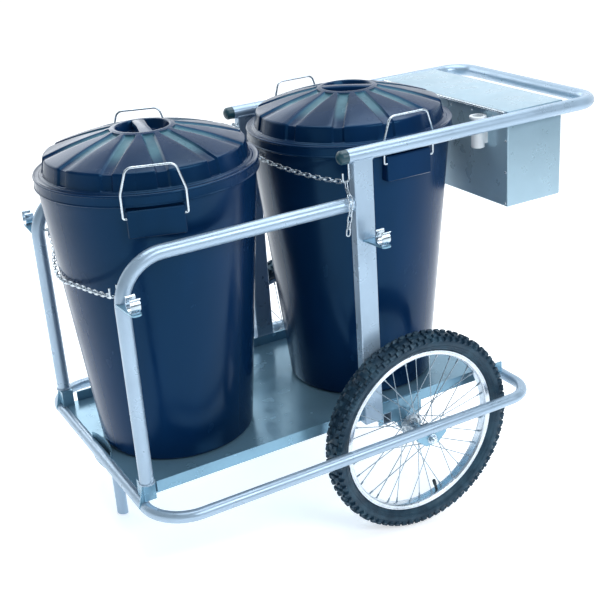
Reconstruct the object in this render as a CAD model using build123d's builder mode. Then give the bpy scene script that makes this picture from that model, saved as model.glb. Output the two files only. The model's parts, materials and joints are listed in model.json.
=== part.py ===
"""Two-bin street barrow: a welded tube frame on two spoked wheels that carries two lidded bins.

The barrow is drawn level: +X towards the push bar, +Y to the right of the person pushing,
+Z up, x = 0 at the wheel axle and z = 0 under the tyres. Each finished piece is then stood in
the rest pose, nose down on the front leg, with the origin at the bottom centre of the whole.
"""
import os
from math import cos, radians, sin, sqrt, tan

from build123d import *

os.makedirs("parts", exist_ok=True)

# Wheels: 20 inch (ISO 406) rims with knobbly tyres
TYRE_R = 256.0
TYRE_W = 54.0
RIM_R = 210.5
RIM_BED_R = 204.5
RIM_INNER_R = 197.0
RIM_W = 30.0
WHEEL_Y = 321.0
SPOKES = 36
SPOKE_R = 1.1
HUB_HALF = 52.0
FLANGE_R = 29.0
FLANGE_Y = 29.0
SPOKE_CIRCLE_R = 25.0
SPOKE_LEAN = 62.0
NIPPLE_R = 2.2
NIPPLE_LENGTH = 14.0
VALVE_ANGLE = -75.0
VALVE_R = 3.5
VALVE_LENGTH = 16.0
VALVE_CAP_R = 4.5
VALVE_CAP_LENGTH = 14.0
AXLE_R = 6.0
RUNNING_GAP = 0.05

# Tube frame
TUBE_R = 16.0
TUBE_WALL = 2.0
RAIL_R = 13.5
SIDE_Y = 275.0
HANDLE_Z = 960.0
HANDLE_FRONT = -138.0
HANDLE_REAR = 596.0
HANDLE_BEND = 62.0
HOOP_X = -687.0
HOOP_Z = 851.0
HOOP_BEND = 100.0
HOOP_FOOT_Z = 338.0
RAIL_Z = 283.0
RAIL_Y = 376.0
RAIL_FRONT = -700.0
RAIL_REAR = 315.0
RAIL_BEND_FRONT = 95.0
RAIL_BEND_REAR = 70.0
POST_X = -102.5
POST_W = 50.0
POST_T = 25.0
POST_WALL = 2.0

# Tray
TRAY_BOTTOM = 295.0
TRAY_SHEET = 3.0
TRAY_TOP = 323.5
TRAY_Y = 262.5
TRAY_FRONT = -693.0
TRAY_REAR = 308.0
UPSTAND_FRONT = -660.0
CROSS_X = -53.5
CROSS_W = 25.0
CROSS_H = 30.0
PLATE_T = 5.0
LEG_X = -665.5
LEG_R = 13.5

# Tool pocket: an oval sheet cup sunk in the front of the tray
POCKET_X = -694.0
POCKET_HALF_X = 14.5
POCKET_HALF_Y = 62.0
POCKET_SHEET = 2.0
POCKET_LOW = 262.0
POCKET_TOP = 310.0
POCKET_GAP = 0.3

# Bins
BIN_X = {"front": -492.0, "rear": 42.0}
BIN_TURN = {"front": 19.5, "rear": 0.0}
BIN_FLOOR = TRAY_BOTTOM + TRAY_SHEET + 0.2
BIN_TOP = 957.0
BIN_BASE_R = 184.0
BIN_NECK_R = 245.0
BIN_WALL = 3.5
LID_RIM_R = 251.7
LID_RIM_Z = 936.0
# Lid section above its rim: (radius, rise) down the outside into the cup, and back inside
LID_OUTSIDE = (
    (234, 29), (231, 31), (224.5, 61), (219, 67.5), (150, 92), (64, 108), (58, 107), (54, 88),
    (0, 88),
)
LID_INSIDE = ((0, 85), (56, 85), (61, 104.5), (149, 89), (217.5, 64.5), (221.5, 60), (227.5, 28))
LID_PLUG_R = 227.5
LID_RIM_H = 26.0
BRIDGE_TURN = {"front": -28.0, "rear": 90.0}
BRIDGE_LENGTH = 112.0
BRIDGE_W = 26.0
BRIDGE_LOW = 87.0
BRIDGE_H = 18.0
GRIP_W = 122.0
GRIP_Z = (872.0, 931.0)
GRIP_FACE = 257.0
BAIL_WIRE_R = 2.5
BAIL_HALF = 67.0
PIVOT_Y = 252.5
PIVOT_Z = 915.0
BAIL_RISE = 107.0

# Tool box
BOX_FRONT = 325.0
BOX_DEPTH = 167.0
BOX_Y = 258.9
BOX_BOTTOM = 737.0
BOX_TOP = 972.5
BOX_SHEET = 2.0
BOX_LID_TOP = 975.0
HINGE_X = BOX_FRONT - 4.6
HINGE_Z = 971.0
HINGE_R = 4.0
HINGE_PIN_R = 2.0
KNUCKLES = 10
RIVET_R = 3.2
RIVET_H = 1.6
RIVET_INSET = 8.0
RIVET_RISES = (8.0, 85.0, 165.0)

# Tube holder on the front of the tool box
HOLDER_R = 16.0
HOLDER_WALL = 2.5
HOLDER_X = BOX_FRONT - 23.5
HOLDER_Y = -175.0
HOLDER_LOW = 877.0
HOLDER_TOP = 955.0
HOLDER_WEB_W = 18.0
HOLDER_WEB_INSET = 8.0
COLLAR_R = 21.0
COLLAR_H = 5.0
COLLAR_ROUND = 2.0

# Tool clips
CLIP_X = {"front": HOOP_X, "post": POST_X + 8}
CLIP_Z = 762.0
CLIP_PLATE_T = 4.0
CLIP_REACH = 360.0
CLIP_ROOT_HALF = {"front": TUBE_R, "post": 19.0}
CLIP_TIP_HALF = 11.0
CLIP_TIP_ROUND = 8.0
CLIP_SETBACK = 18.0
CLIP_W = 22.0
CLIP_GRIP_R = 14.0
CLIP_BAND = 1.5
CLIP_FOOT_W = 24.0
CLIP_FOOT_H = 6.0
CLIP_MOUTH = 17.2
CLIP_LIP = ((11.4, 8), (13.4, 9), (11, 15), (17, 24), (15.4, 24.8), (8.6, 15))

# Chain
LINK_PITCH = 15.4
LINK_WIRE_R = 1.5
LINK_INNER_W = 6.0
CHAIN_STANDOFF = 7.5

# Chain eyes and hooks
EYE_R = 7.6
EYE_WIRE_R = 2.0
HOOK_WIRE_R = 2.3
HOOK_R = 8.0
HOOK_TIP = 22.0
EYE_SEAT = (TUBE_R + EYE_R + EYE_WIRE_R + 0.2) / sqrt(2)
FRONT_EYE = (HOOP_X + 2 + EYE_SEAT, SIDE_Y - EYE_SEAT, 770.0)
REAR_EYE = (POST_X - POST_W / 2 - EYE_R - EYE_WIRE_R, SIDE_Y - 4, 930.0)
FRONT_HOOK = (HOOP_X, -SIDE_Y + TUBE_R + HOOK_WIRE_R, 772.0)
REAR_HOOK = (POST_X - POST_W / 2 - 6, -SIDE_Y, 903.0)
FRONT_HOOK_TOP = FRONT_HOOK[2] + 26
REAR_HOOK_TOP = HANDLE_Z - TUBE_R

# Where each chain runs: past one side, then (y, z) across the front of its bin, past the other
FRONT_CHAIN_RIGHT = (-684.0, 170.0, 752.0)
FRONT_CHAIN_SPAN = ((62.0, 741.0), (0.0, 738.0), (-62.0, 743.0))
FRONT_CHAIN_LEFT = (-707.0, -165.0, 757.0)
REAR_CHAIN_RIGHT = (-163.0, 180.0, 922.0)
REAR_CHAIN_SPAN = ((62.0, 917.0), (0.0, 913.0), (-62.0, 908.0))
REAR_CHAIN_LEFT = (-168.0, -185.0, 900.0)
REAR_CHAIN_TAIL = ((-2, -7, -17), (-4, -22, -41), (-8, -25, -63), (-16, -25, -113))

# Rest pose: the barrow leans forward about the axle until the leg meets the ground
REST_TILT = 9.0
FRONT_REACH = (
    (BIN_X["front"] - LID_RIM_R) * cos(radians(REST_TILT))
    - (LID_RIM_Z + 26 - TYRE_R) * sin(radians(REST_TILT))
)
REAR_REACH = (
    HANDLE_REAR * cos(radians(REST_TILT))
    - (HANDLE_Z - TYRE_R) * sin(radians(REST_TILT))
    + TUBE_R
)
REST_POSE = (
    Location((-(FRONT_REACH + REAR_REACH) / 2, 0, TYRE_R), (0, -REST_TILT, 0))
    * Location((0, 0, -TYRE_R))
)
SIDES = {"left": -1, "right": 1}


def finish(piece, label):
    """Stand a finished piece in the rest pose and write it under its own name."""
    piece.part.move(REST_POSE)
    piece.part.label = label
    export_step(piece.part, f"parts/{label}.step")


def ground_height(x):
    """Height of the ground, in the level drawing, under the barrow at x."""
    tilt = radians(REST_TILT)
    return TYRE_R - (TYRE_R + x * sin(tilt)) / cos(tilt)


def bin_radius(z):
    """Outside radius of a bin's tapered wall at a height."""
    return BIN_BASE_R + (BIN_NECK_R - BIN_BASE_R) * (z - BIN_FLOOR) / (LID_RIM_Z - BIN_FLOOR)


def pipe_section(path, radius, wall=TUBE_WALL):
    """Ring-shaped tube section at the start of a path, or a full disc where wall is 0."""
    with BuildSketch(Plane(origin=path @ 0, z_dir=path % 0)) as section:
        Circle(radius)
        if wall:
            Circle(radius - wall, mode=Mode.SUBTRACT)
    return section.sketch


def make_tray():
    with BuildPart() as tray:
        with BuildSketch(Plane.YZ.offset(UPSTAND_FRONT)):
            with BuildLine():
                Polyline(
                    (-TRAY_Y, TRAY_TOP), (-TRAY_Y, TRAY_BOTTOM), (TRAY_Y, TRAY_BOTTOM),
                    (TRAY_Y, TRAY_TOP), (TRAY_Y - TRAY_SHEET, TRAY_TOP),
                    (TRAY_Y - TRAY_SHEET, TRAY_BOTTOM + TRAY_SHEET),
                    (TRAY_SHEET - TRAY_Y, TRAY_BOTTOM + TRAY_SHEET),
                    (TRAY_SHEET - TRAY_Y, TRAY_TOP), close=True,
                )
            make_face()
        extrude(amount=TRAY_REAR - UPSTAND_FRONT)
        with BuildSketch(Plane.XY.offset(TRAY_BOTTOM)):
            with Locations(((TRAY_FRONT + UPSTAND_FRONT) / 2, 0)):
                Rectangle(UPSTAND_FRONT - TRAY_FRONT, 2 * TRAY_Y)
        extrude(amount=TRAY_SHEET)
        with BuildSketch(Plane.XY.offset(TRAY_BOTTOM)):
            with Locations((POCKET_X, 0)):
                Ellipse(POCKET_HALF_X + POCKET_GAP, POCKET_HALF_Y + POCKET_GAP)
        extrude(amount=TRAY_SHEET, mode=Mode.SUBTRACT)
    finish(tray, "tray")


def make_axle_cross_member():
    length = 2 * (TRAY_Y + PLATE_T)
    with BuildPart() as cross:
        with BuildSketch(Plane.XZ.offset(-length / 2)):
            with Locations((CROSS_X, TRAY_BOTTOM - CROSS_H / 2)):
                Rectangle(CROSS_W, CROSS_H)
                Rectangle(CROSS_W - 2 * POST_WALL, CROSS_H - 2 * POST_WALL, mode=Mode.SUBTRACT)
        extrude(amount=length)
    finish(cross, "axle_cross_member")


def make_bumper_rail():
    with BuildPart() as rail:
        with BuildLine(Plane.XY.offset(RAIL_Z)) as path:
            FilletPolyline(
                (RAIL_REAR, -RAIL_Y), (RAIL_REAR, RAIL_Y), (RAIL_FRONT, RAIL_Y),
                (RAIL_FRONT, -RAIL_Y),
                radius=[RAIL_BEND_REAR, RAIL_BEND_REAR, RAIL_BEND_FRONT, RAIL_BEND_FRONT],
                close=True,
            )
        sweep(sections=pipe_section(path.wire(), RAIL_R))
    finish(rail, "bumper_rail")


def make_post(name, side):
    with BuildPart() as post:
        with BuildSketch(Plane.XY.offset(TRAY_BOTTOM)):
            with Locations((POST_X, side * SIDE_Y)):
                RectangleRounded(POST_W, POST_T, 3)
                RectangleRounded(POST_W - 2 * POST_WALL, POST_T - 2 * POST_WALL, 1, mode=Mode.SUBTRACT)
        extrude(amount=HANDLE_Z - TRAY_BOTTOM)
        with BuildSketch(Plane.YZ.offset(POST_X - POST_W)):
            with Locations((side * SIDE_Y, HANDLE_Z)):
                Circle(TUBE_R)
        extrude(amount=2 * POST_W, mode=Mode.SUBTRACT)
    finish(post, f"{name}_post")


def make_handle():
    with BuildPart() as handle:
        with BuildLine(Plane.XY.offset(HANDLE_Z)) as path:
            FilletPolyline(
                (HANDLE_FRONT, -SIDE_Y), (HANDLE_REAR, -SIDE_Y), (HANDLE_REAR, SIDE_Y),
                (HANDLE_FRONT, SIDE_Y), radius=HANDLE_BEND,
            )
        sweep(sections=pipe_section(path.wire(), TUBE_R))
    finish(handle, "push_handle")


def make_handle_caps():
    with BuildPart() as caps:
        for side in SIDES.values():
            with BuildSketch(Plane.XY.offset(HANDLE_Z)) as profile:
                with BuildLine():
                    Polyline(
                        (HANDLE_FRONT - 18, side * SIDE_Y + TUBE_R - 2),
                        (HANDLE_FRONT - 15, side * SIDE_Y + TUBE_R - 0.5),
                        (HANDLE_FRONT, side * SIDE_Y + TUBE_R - 0.5),
                        (HANDLE_FRONT, side * SIDE_Y + TUBE_R - TUBE_WALL),
                        (HANDLE_FRONT + 18, side * SIDE_Y + TUBE_R - TUBE_WALL),
                        (HANDLE_FRONT + 18, side * SIDE_Y), (HANDLE_FRONT - 24, side * SIDE_Y),
                    )
                    ThreePointArc(
                        (HANDLE_FRONT - 24, side * SIDE_Y), (HANDLE_FRONT - 22.2, side * SIDE_Y + 8),
                        (HANDLE_FRONT - 18, side * SIDE_Y + TUBE_R - 2),
                    )
                make_face()
            revolve(axis=Axis((0, side * SIDE_Y, HANDLE_Z), (1, 0, 0)))
    finish(caps, "handle_end_caps")


def make_hoop(name, side):
    end_x = POST_X - POST_W / 2
    with BuildPart() as hoop:
        with BuildLine(Plane.XZ.offset(-side * SIDE_Y)) as path:
            FilletPolyline(
                (HOOP_X, HOOP_FOOT_Z), (HOOP_X, HOOP_Z), (end_x, HOOP_Z), radius=HOOP_BEND,
            )
        sweep(sections=pipe_section(path.wire(), TUBE_R))
    finish(hoop, f"{name}_hoop")


def make_corner_brackets():
    foot_low = TRAY_BOTTOM + TRAY_SHEET
    with BuildPart() as brackets:
        for side in SIDES.values():
            with BuildSketch(Plane.XY.offset(foot_low)):
                with Locations((HOOP_X, side * (SIDE_Y - 7.5))):
                    Rectangle(28, 39)
            extrude(amount=HOOP_FOOT_Z - foot_low)
            with BuildSketch(Plane.XZ.offset(-side * (SIDE_Y + 4))):
                with BuildLine():
                    Polyline(
                        (HOOP_X - 14, HOOP_FOOT_Z), (HOOP_X - 14, RAIL_Z), (HOOP_X - 28, RAIL_Z),
                        (HOOP_X - 14, HOOP_FOOT_Z),
                    )
                make_face()
            extrude(amount=4)
        with BuildLine(Plane.XY.offset(RAIL_Z)) as path:
            FilletPolyline(
                (RAIL_REAR, -RAIL_Y), (RAIL_REAR, RAIL_Y), (RAIL_FRONT, RAIL_Y),
                (RAIL_FRONT, -RAIL_Y),
                radius=[RAIL_BEND_REAR, RAIL_BEND_REAR, RAIL_BEND_FRONT, RAIL_BEND_FRONT],
                close=True,
            )
        sweep(sections=pipe_section(path.wire(), RAIL_R, wall=0), mode=Mode.SUBTRACT)
    finish(brackets, "corner_brackets")


def make_tool_pocket():
    with BuildPart() as pocket:
        with BuildSketch(Plane.XY.offset(POCKET_LOW)):
            with Locations((POCKET_X, 0)):
                Ellipse(POCKET_HALF_X, POCKET_HALF_Y)
        extrude(amount=POCKET_TOP - POCKET_LOW)
        with BuildSketch(Plane.XY.offset(POCKET_LOW + POCKET_SHEET)):
            with Locations((POCKET_X, 0)):
                Ellipse(POCKET_HALF_X - POCKET_SHEET, POCKET_HALF_Y - POCKET_SHEET)
        extrude(amount=POCKET_TOP - POCKET_LOW, mode=Mode.SUBTRACT)
        with BuildSketch(Plane.XZ.offset(-2 * POCKET_HALF_Y)):
            with Locations((RAIL_FRONT, RAIL_Z)):
                Circle(RAIL_R)
            with Locations((RAIL_FRONT + RAIL_R / 2, RAIL_Z)):
                Rectangle(4 * RAIL_R, 4 * RAIL_R, align=(Align.MAX, Align.MIN))
        extrude(amount=4 * POCKET_HALF_Y, mode=Mode.SUBTRACT)
    finish(pocket, "tool_pocket")


def make_leg():
    foot = ground_height(LEG_X)
    with BuildPart() as leg:
        with BuildSketch(Plane.XY.offset(foot - 10)):
            with Locations((LEG_X, 0)):
                Circle(LEG_R)
                Circle(LEG_R - TUBE_WALL, mode=Mode.SUBTRACT)
        extrude(amount=TRAY_BOTTOM - foot + 10)
        slope = tan(radians(REST_TILT))
        with BuildSketch(Plane.XZ.offset(-LEG_R - 2)):
            with BuildLine():
                Polyline(
                    (LEG_X - 30, foot + 30 * slope), (LEG_X + 30, foot - 30 * slope),
                    (LEG_X + 30, foot - 40), (LEG_X - 30, foot - 40), close=True,
                )
            make_face()
        extrude(amount=2 * LEG_R + 4, mode=Mode.SUBTRACT)
    finish(leg, "front_leg")


def make_axle_plate(name, side):
    with BuildPart() as plate:
        with BuildSketch(Plane.XZ.offset(-side * (TRAY_Y + PLATE_T / 2 + PLATE_T / 2 * side))):
            with BuildLine():
                Polyline((22, TYRE_R), (48, 272), (48, TRAY_TOP - 1), (-77, TRAY_TOP - 1),
                         (-77, 265), (-36, 265), (-22, TYRE_R))
                ThreePointArc((-22, TYRE_R), (0, TYRE_R - 22), (22, TYRE_R))
            make_face()
            with Locations((0, TYRE_R)):
                Circle(AXLE_R, mode=Mode.SUBTRACT)
            with Locations((CROSS_X, TRAY_BOTTOM - CROSS_H / 2)):
                Rectangle(CROSS_W, CROSS_H, mode=Mode.SUBTRACT)
        extrude(amount=PLATE_T)
    finish(plate, f"{name}_axle_plate")


def make_dropout(name, side):
    with BuildPart() as dropout:
        with BuildSketch(Plane.XZ.offset(-side * RAIL_Y - PLATE_T / 2)):
            with BuildLine():
                Polyline((-17, 240), (-42, 262), (-42, 272), (42, 272), (42, 262), (17, 240),
                         (-17, 240))
            make_face()
            with Locations((0, TYRE_R)):
                Circle(AXLE_R, mode=Mode.SUBTRACT)
        extrude(amount=PLATE_T)
        with BuildSketch(Plane.YZ.offset(-60)):
            with Locations((side * RAIL_Y, RAIL_Z)):
                Circle(RAIL_R)
        extrude(amount=120, mode=Mode.SUBTRACT)
    finish(dropout, f"{name}_dropout")


def make_axle(name, side):
    inner = TRAY_Y - 13
    outer = RAIL_Y + 17
    with BuildPart() as axle:
        with BuildSketch(Plane.XZ.offset(-side * inner)):
            with Locations((0, TYRE_R)):
                Circle(AXLE_R)
        extrude(amount=-side * (outer - inner))
        chamfer(axle.edges().filter_by(GeomType.CIRCLE), 1)
    finish(axle, f"{name}_axle")


def make_axle_nuts():
    seats = [(TRAY_Y, -1), (RAIL_Y + PLATE_T / 2, 1)]
    with BuildPart() as nuts:
        for side in SIDES.values():
            for seat, outward in seats:
                with BuildSketch(Plane.XZ.offset(-side * seat)):
                    with Locations((0, TYRE_R)):
                        RegularPolygon(11, 6)
                        Circle(AXLE_R + RUNNING_GAP, mode=Mode.SUBTRACT)
                extrude(amount=-side * outward * 9)
    finish(nuts, "axle_nuts")


def wheel_axis(side):
    return Axis((0, side * WHEEL_Y, TYRE_R), (0, 1, 0))


def wheel_plane(side):
    """Plane through the axle: local x is the distance from the axle, local y runs along it."""
    return Plane(origin=(0, side * WHEEL_Y, TYRE_R), x_dir=(1, 0, 0), z_dir=(0, 0, 1))


def make_hub(name, side):
    with BuildPart() as hub:
        with BuildSketch(wheel_plane(side)):
            with BuildLine():
                Polyline(
                    (AXLE_R + RUNNING_GAP, -HUB_HALF), (10, -HUB_HALF), (10, -40), (17, -38),
                    (17, -FLANGE_Y - 1.5), (FLANGE_R, -FLANGE_Y - 1.5), (FLANGE_R, -FLANGE_Y + 1.5),
                    (17, -FLANGE_Y + 4), (14, -18), (14, 18), (17, FLANGE_Y - 4),
                    (FLANGE_R, FLANGE_Y - 1.5), (FLANGE_R, FLANGE_Y + 1.5), (17, FLANGE_Y + 1.5),
                    (17, 38), (10, 40), (10, HUB_HALF), (AXLE_R + RUNNING_GAP, HUB_HALF), close=True,
                )
            make_face()
        revolve(axis=wheel_axis(side))
    finish(hub, f"{name}_hub")


def make_rim(name, side):
    half = RIM_W / 2
    with BuildPart() as rim:
        with BuildSketch(wheel_plane(side)):
            with BuildLine():
                Polyline(
                    (RIM_R, -half), (RIM_R, 2.5 - half), (RIM_BED_R, 2.5 - half),
                    (RIM_BED_R, half - 2.5), (RIM_R, half - 2.5), (RIM_R, half),
                    (RIM_INNER_R + 3, half), (RIM_INNER_R, half - 6), (RIM_INNER_R, 6 - half),
                    (RIM_INNER_R + 3, -half), close=True,
                )
            make_face()
        revolve(axis=wheel_axis(side))
    finish(rim, f"{name}_rim")


def make_tyre(name, side):
    bead = RIM_W / 2 - 2.6
    belly = 233.0
    with BuildPart() as tyre:
        with BuildSketch(wheel_plane(side)):
            with BuildLine():
                Polyline((RIM_R + 3, -bead - 4), (RIM_R + 0.5, -bead), (RIM_BED_R + 0.1, -bead),
                         (RIM_BED_R + 0.1, -bead + 4), (RIM_R + 4, -bead - 1))
                ThreePointArc((RIM_R + 4, -bead - 1), (TYRE_R - 5, 0), (RIM_R + 4, bead + 1))
                Polyline((RIM_R + 4, bead + 1), (RIM_BED_R + 0.1, bead - 4),
                         (RIM_BED_R + 0.1, bead), (RIM_R + 0.5, bead), (RIM_R + 3, bead + 4))
                Line((RIM_R + 3, bead + 4), (belly - 10, TYRE_W / 2 - 4))
                ThreePointArc((belly - 10, TYRE_W / 2 - 4), (belly, TYRE_W / 2), (belly + 9, TYRE_W / 2 - 3))
                ThreePointArc((belly + 9, TYRE_W / 2 - 3), (TYRE_R, 0), (belly + 9, 3 - TYRE_W / 2))
                ThreePointArc((belly + 9, 3 - TYRE_W / 2), (belly, -TYRE_W / 2), (belly - 10, 4 - TYRE_W / 2))
                Line((belly - 10, 4 - TYRE_W / 2), (RIM_R + 3, -bead - 4))
            make_face()
        revolve(axis=wheel_axis(side))
    finish(tyre, f"{name}_tyre")


def make_spokes(name, side):
    """Crossed spokes, every second one on the other flange, every pair leaning both ways."""
    lean = radians(SPOKE_LEAN)
    with BuildPart() as spokes:
        for index in range(SPOKES):
            flange = 1 if index % 2 else -1
            turn = 1 if index // 2 % 2 else -1
            angle = radians(index * 360 / SPOKES)
            root = angle + turn * lean
            low = Vector(
                SPOKE_CIRCLE_R * cos(root),
                side * WHEEL_Y + flange * (FLANGE_Y + turn * 2.8),
                TYRE_R + SPOKE_CIRCLE_R * sin(root),
            )
            high = Vector(
                (RIM_INNER_R + 3) * cos(angle), side * WHEEL_Y + flange * 3,
                TYRE_R + (RIM_INNER_R + 3) * sin(angle),
            )
            with BuildSketch(Plane(origin=low, z_dir=high - low)):
                Circle(SPOKE_R)
            extrude(amount=(high - low).length)
            nipple = high - (high - low).normalized() * NIPPLE_LENGTH
            with BuildSketch(Plane(origin=nipple, z_dir=high - low)):
                Circle(NIPPLE_R)
            extrude(amount=NIPPLE_LENGTH)
    finish(spokes, f"{name}_spokes")


def make_valve(name, side):
    angle = radians(VALVE_ANGLE)
    inward = Vector(-cos(angle), 0, -sin(angle))
    reach = RIM_INNER_R - 0.1
    seat = Vector(reach * cos(angle), side * WHEEL_Y, TYRE_R + reach * sin(angle))
    with BuildPart() as valve:
        with BuildSketch(Plane(origin=seat, z_dir=inward)):
            Circle(VALVE_R)
        extrude(amount=VALVE_LENGTH)
        with BuildSketch(Plane(origin=seat + inward * VALVE_LENGTH, z_dir=inward)):
            Circle(VALVE_CAP_R)
        extrude(amount=VALVE_CAP_LENGTH)
        fillet(valve.edges().sort_by(Axis((0, 0, 0), tuple(inward)))[-1:], 2)
    finish(valve, f"{name}_tyre_valve")


def grip_plane(name, side, height):
    """Level plane at a bin's axis, turned so local -Y or +Y points at one of its grips."""
    turn = -BIN_TURN[name]
    return Plane(
        origin=(BIN_X[name], 0, height),
        x_dir=(cos(radians(turn)), sin(radians(turn)), 0), z_dir=(0, 0, 1),
    )


def make_bin(name):
    with BuildPart() as shell:
        with BuildSketch(Plane(origin=(BIN_X[name], 0, 0), x_dir=(1, 0, 0), z_dir=(0, -1, 0))):
            with BuildLine():
                Polyline((0, BIN_FLOOR + 6), (BIN_BASE_R - 16, BIN_FLOOR + 6),
                         (BIN_BASE_R - 18, BIN_FLOOR), (BIN_BASE_R - 10, BIN_FLOOR))
                RadiusArc((BIN_BASE_R - 10, BIN_FLOOR), (BIN_BASE_R + 1, BIN_FLOOR + 10), 10.5)
                Polyline(
                    (BIN_BASE_R + 1, BIN_FLOOR + 10), (BIN_NECK_R, LID_RIM_Z),
                    (BIN_NECK_R, BIN_TOP - 8), (LID_RIM_R - 4, BIN_TOP - 8),
                    (LID_RIM_R - 4, BIN_TOP), (BIN_NECK_R - BIN_WALL, BIN_TOP),
                    (BIN_NECK_R - BIN_WALL, LID_RIM_Z), (BIN_BASE_R - BIN_WALL, BIN_FLOOR + 10),
                    (0, BIN_FLOOR + 10), (0, BIN_FLOOR + 6),
                )
            make_face()
        revolve(axis=Axis((BIN_X[name], 0, 0), (0, 0, 1)))
        for side in SIDES.values():
            with BuildSketch(grip_plane(name, side, GRIP_Z[0])):
                with Locations((0, side * (GRIP_FACE - 15))):
                    Rectangle(GRIP_W, 30)
            extrude(amount=GRIP_Z[1] - GRIP_Z[0])
        with BuildSketch(Plane(origin=(BIN_X[name], 0, 0), x_dir=(1, 0, 0), z_dir=(0, -1, 0))):
            with BuildLine():
                Polyline(
                    (0, BIN_FLOOR + 10), (BIN_BASE_R - BIN_WALL, BIN_FLOOR + 10),
                    (BIN_NECK_R - BIN_WALL, LID_RIM_Z), (BIN_NECK_R - BIN_WALL, BIN_TOP),
                    (0, BIN_TOP), close=True,
                )
            make_face()
        revolve(axis=Axis((BIN_X[name], 0, 0), (0, 0, 1)), mode=Mode.SUBTRACT)
        for side in SIDES.values():
            plane = grip_plane(name, side, 0)
            pivot = plane.from_local_coords(Vector(-GRIP_W / 2 - 1, side * PIVOT_Y, PIVOT_Z))
            with BuildSketch(Plane(origin=pivot, z_dir=plane.x_dir)):
                Circle(BAIL_WIRE_R + RUNNING_GAP)
            extrude(amount=GRIP_W + 2, mode=Mode.SUBTRACT)
    finish(shell, f"{name}_bin")


def make_lid(name):
    turn = radians(BRIDGE_TURN[name])
    with BuildPart() as lid:
        with BuildSketch(Plane(origin=(BIN_X[name], 0, 0), x_dir=(1, 0, 0), z_dir=(0, -1, 0))):
            with BuildLine():
                Polyline(
                    (LID_RIM_R - 3, LID_RIM_Z), (LID_RIM_R, LID_RIM_Z),
                    (LID_RIM_R, LID_RIM_Z + LID_RIM_H), (LID_RIM_R - 5, LID_RIM_Z + LID_RIM_H + 2),
                    *[(radius, LID_RIM_Z + rise) for radius, rise in LID_OUTSIDE + LID_INSIDE],
                    (LID_PLUG_R, BIN_TOP + 0.3), (LID_RIM_R - 3, BIN_TOP + 0.3), close=True,
                )
            make_face()
        revolve(axis=Axis((BIN_X[name], 0, 0), (0, 0, 1)))
        with BuildSketch(Plane(
            origin=(BIN_X[name], 0, LID_RIM_Z + BRIDGE_LOW), x_dir=(cos(turn), sin(turn), 0),
            z_dir=(0, 0, 1),
        )):
            Rectangle(BRIDGE_LENGTH, BRIDGE_W)
        extrude(amount=BRIDGE_H)
    finish(lid, f"{name}_bin_lid")


def make_bail(name, side_name, side):
    top_y = side * (LID_RIM_R + BAIL_WIRE_R + 1.2)
    low_y = side * PIVOT_Y
    plane = grip_plane(name, side, 0)
    route = [
        (-GRIP_W / 2 + 10, low_y, PIVOT_Z), (-BAIL_HALF, low_y, PIVOT_Z),
        (-BAIL_HALF, (low_y + top_y) / 2, PIVOT_Z + 52), (-BAIL_HALF + 17, top_y, PIVOT_Z + BAIL_RISE),
        (BAIL_HALF - 17, top_y, PIVOT_Z + BAIL_RISE), (BAIL_HALF, (low_y + top_y) / 2, PIVOT_Z + 52),
        (BAIL_HALF, low_y, PIVOT_Z), (GRIP_W / 2 - 10, low_y, PIVOT_Z),
    ]
    points = [plane.from_local_coords(Vector(*point)) for point in route]
    with BuildPart() as bail:
        with BuildLine() as path:
            FilletPolyline(*points, radius=[4, 30, 17, 17, 30, 4])
        sweep(sections=pipe_section(path.wire(), BAIL_WIRE_R, wall=0))
    finish(bail, f"{name}_bin_{side_name}_bail")


def knuckle_spans(first):
    """Y ranges of every second hinge knuckle."""
    width = 2 * (BOX_Y - 6) / KNUCKLES
    return [
        (-BOX_Y + 6 + index * width + 0.4, -BOX_Y + 6 + (index + 1) * width - 0.4)
        for index in range(first, KNUCKLES, 2)
    ]


def hinge_knuckles(first, tab):
    """Hinge barrels over every second span, each joined to its sheet by a tab."""
    with BuildPart() as knuckles:
        for low, high in knuckle_spans(first):
            with BuildSketch(Plane.XZ.offset(-low)):
                with Locations((HINGE_X, HINGE_Z)):
                    Circle(HINGE_R)
                with BuildLine():
                    Polyline(*tab, close=True)
                make_face()
            extrude(amount=low - high)
            with BuildSketch(Plane.XZ.offset(-low)):
                with Locations((HINGE_X, HINGE_Z)):
                    Circle(HINGE_PIN_R + RUNNING_GAP)
            extrude(amount=low - high, mode=Mode.SUBTRACT)
    return knuckles.part


def make_tool_box():
    middle = BOX_FRONT + BOX_DEPTH / 2
    with BuildPart() as box:
        with BuildSketch(Plane.XY.offset(BOX_BOTTOM)):
            with Locations((middle, 0)):
                Rectangle(BOX_DEPTH, 2 * BOX_Y)
        extrude(amount=BOX_TOP - BOX_BOTTOM)
        with BuildSketch(Plane.XY.offset(BOX_BOTTOM + BOX_SHEET)):
            with Locations((middle, 0)):
                Rectangle(BOX_DEPTH - 2 * BOX_SHEET, 2 * (BOX_Y - BOX_SHEET))
        extrude(amount=BOX_TOP, mode=Mode.SUBTRACT)
        tab = [(BOX_FRONT - 1.6, HINGE_Z), (BOX_FRONT, HINGE_Z), (BOX_FRONT, HINGE_Z - 24),
               (BOX_FRONT - 1.6, HINGE_Z - 24)]
        add(hinge_knuckles(0, tab))
    finish(box, "tool_box")


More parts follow.
